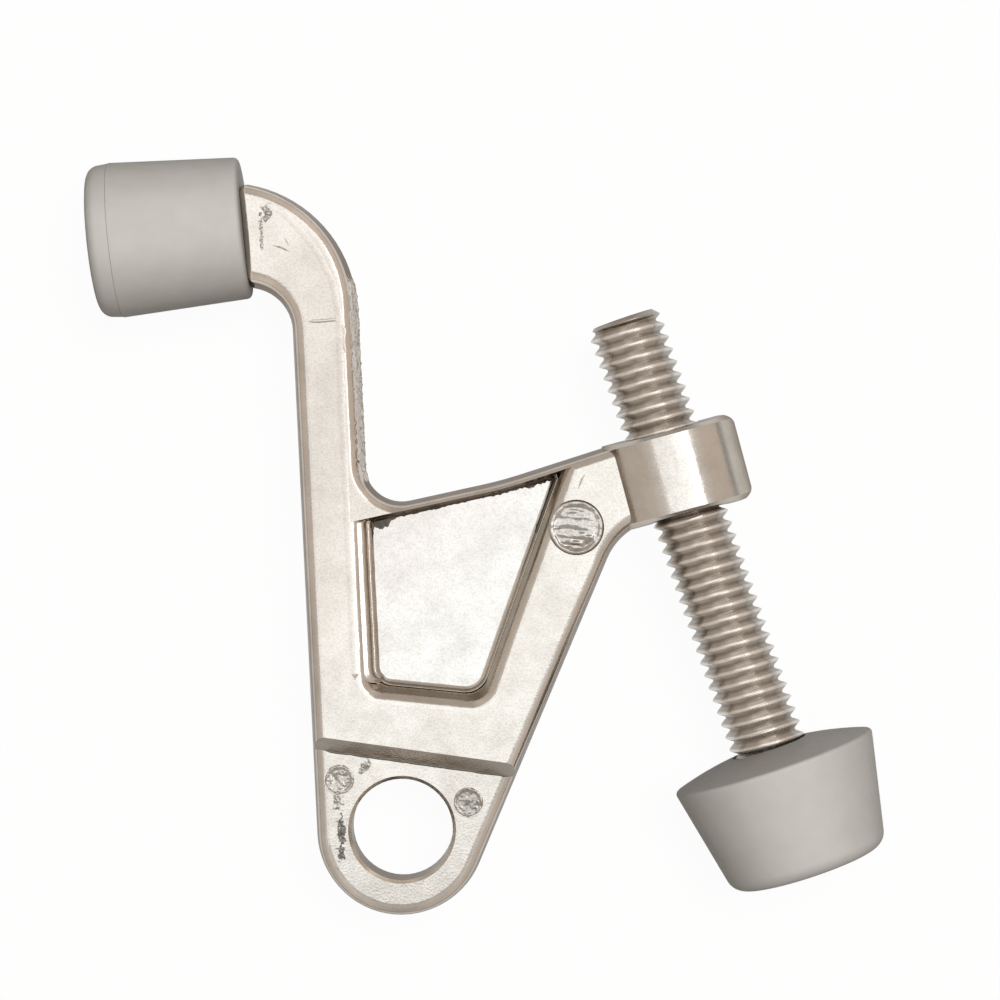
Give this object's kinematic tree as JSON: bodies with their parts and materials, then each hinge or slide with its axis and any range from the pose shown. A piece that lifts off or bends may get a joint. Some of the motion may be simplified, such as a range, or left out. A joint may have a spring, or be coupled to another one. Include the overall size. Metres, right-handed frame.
{
  "type": "hinge pin door stop",
  "caption": "Cast hinge pin door stop with a rubber tipped long arm and a threaded rod with a rubber bumper, adjusted by turning the rod in its boss.",
  "frame": {"origin": "centre of the hinge pin bore, on the casting's mid-plane", "axes": "+Z along the hinge pin bore, +Y towards the long arm's rubber tip, +X towards the threaded rod"},
  "size_m": [0.061, 0.0579, 0.0156],
  "materials": {
    "casting": "satin nickel plating on a die casting, lightly grained",
    "rod": "nickel plated rolled thread",
    "rubber": "smooth grey moulded rubber, matt"
  },
  "bodies": {
    "casting": {"cast_body": "casting", "arm_tip": "rubber"},
    "bumper": {"rod_bumper": "rubber"},
    "rod": {"threaded_rod": "rod"}
  },
  "joints": [
    {"name": "rod_travel", "type": "slide", "parent": "casting", "child": "bumper", "axis": [0.3223, -0.9466, 0], "range_m": [-0.0174, 0.009]},
    {"name": "rod_turn", "type": "hinge", "parent": "bumper", "child": "rod", "pos_m": [0.02083, 0.02713, 0], "axis": [0.3223, -0.9466, 0], "range_deg": [-6266, 3242]}
  ],
  "couplings": [
    {"joint": "rod_turn", "follows": "rod_travel", "rad_per_m": 6283.2}
  ]
}
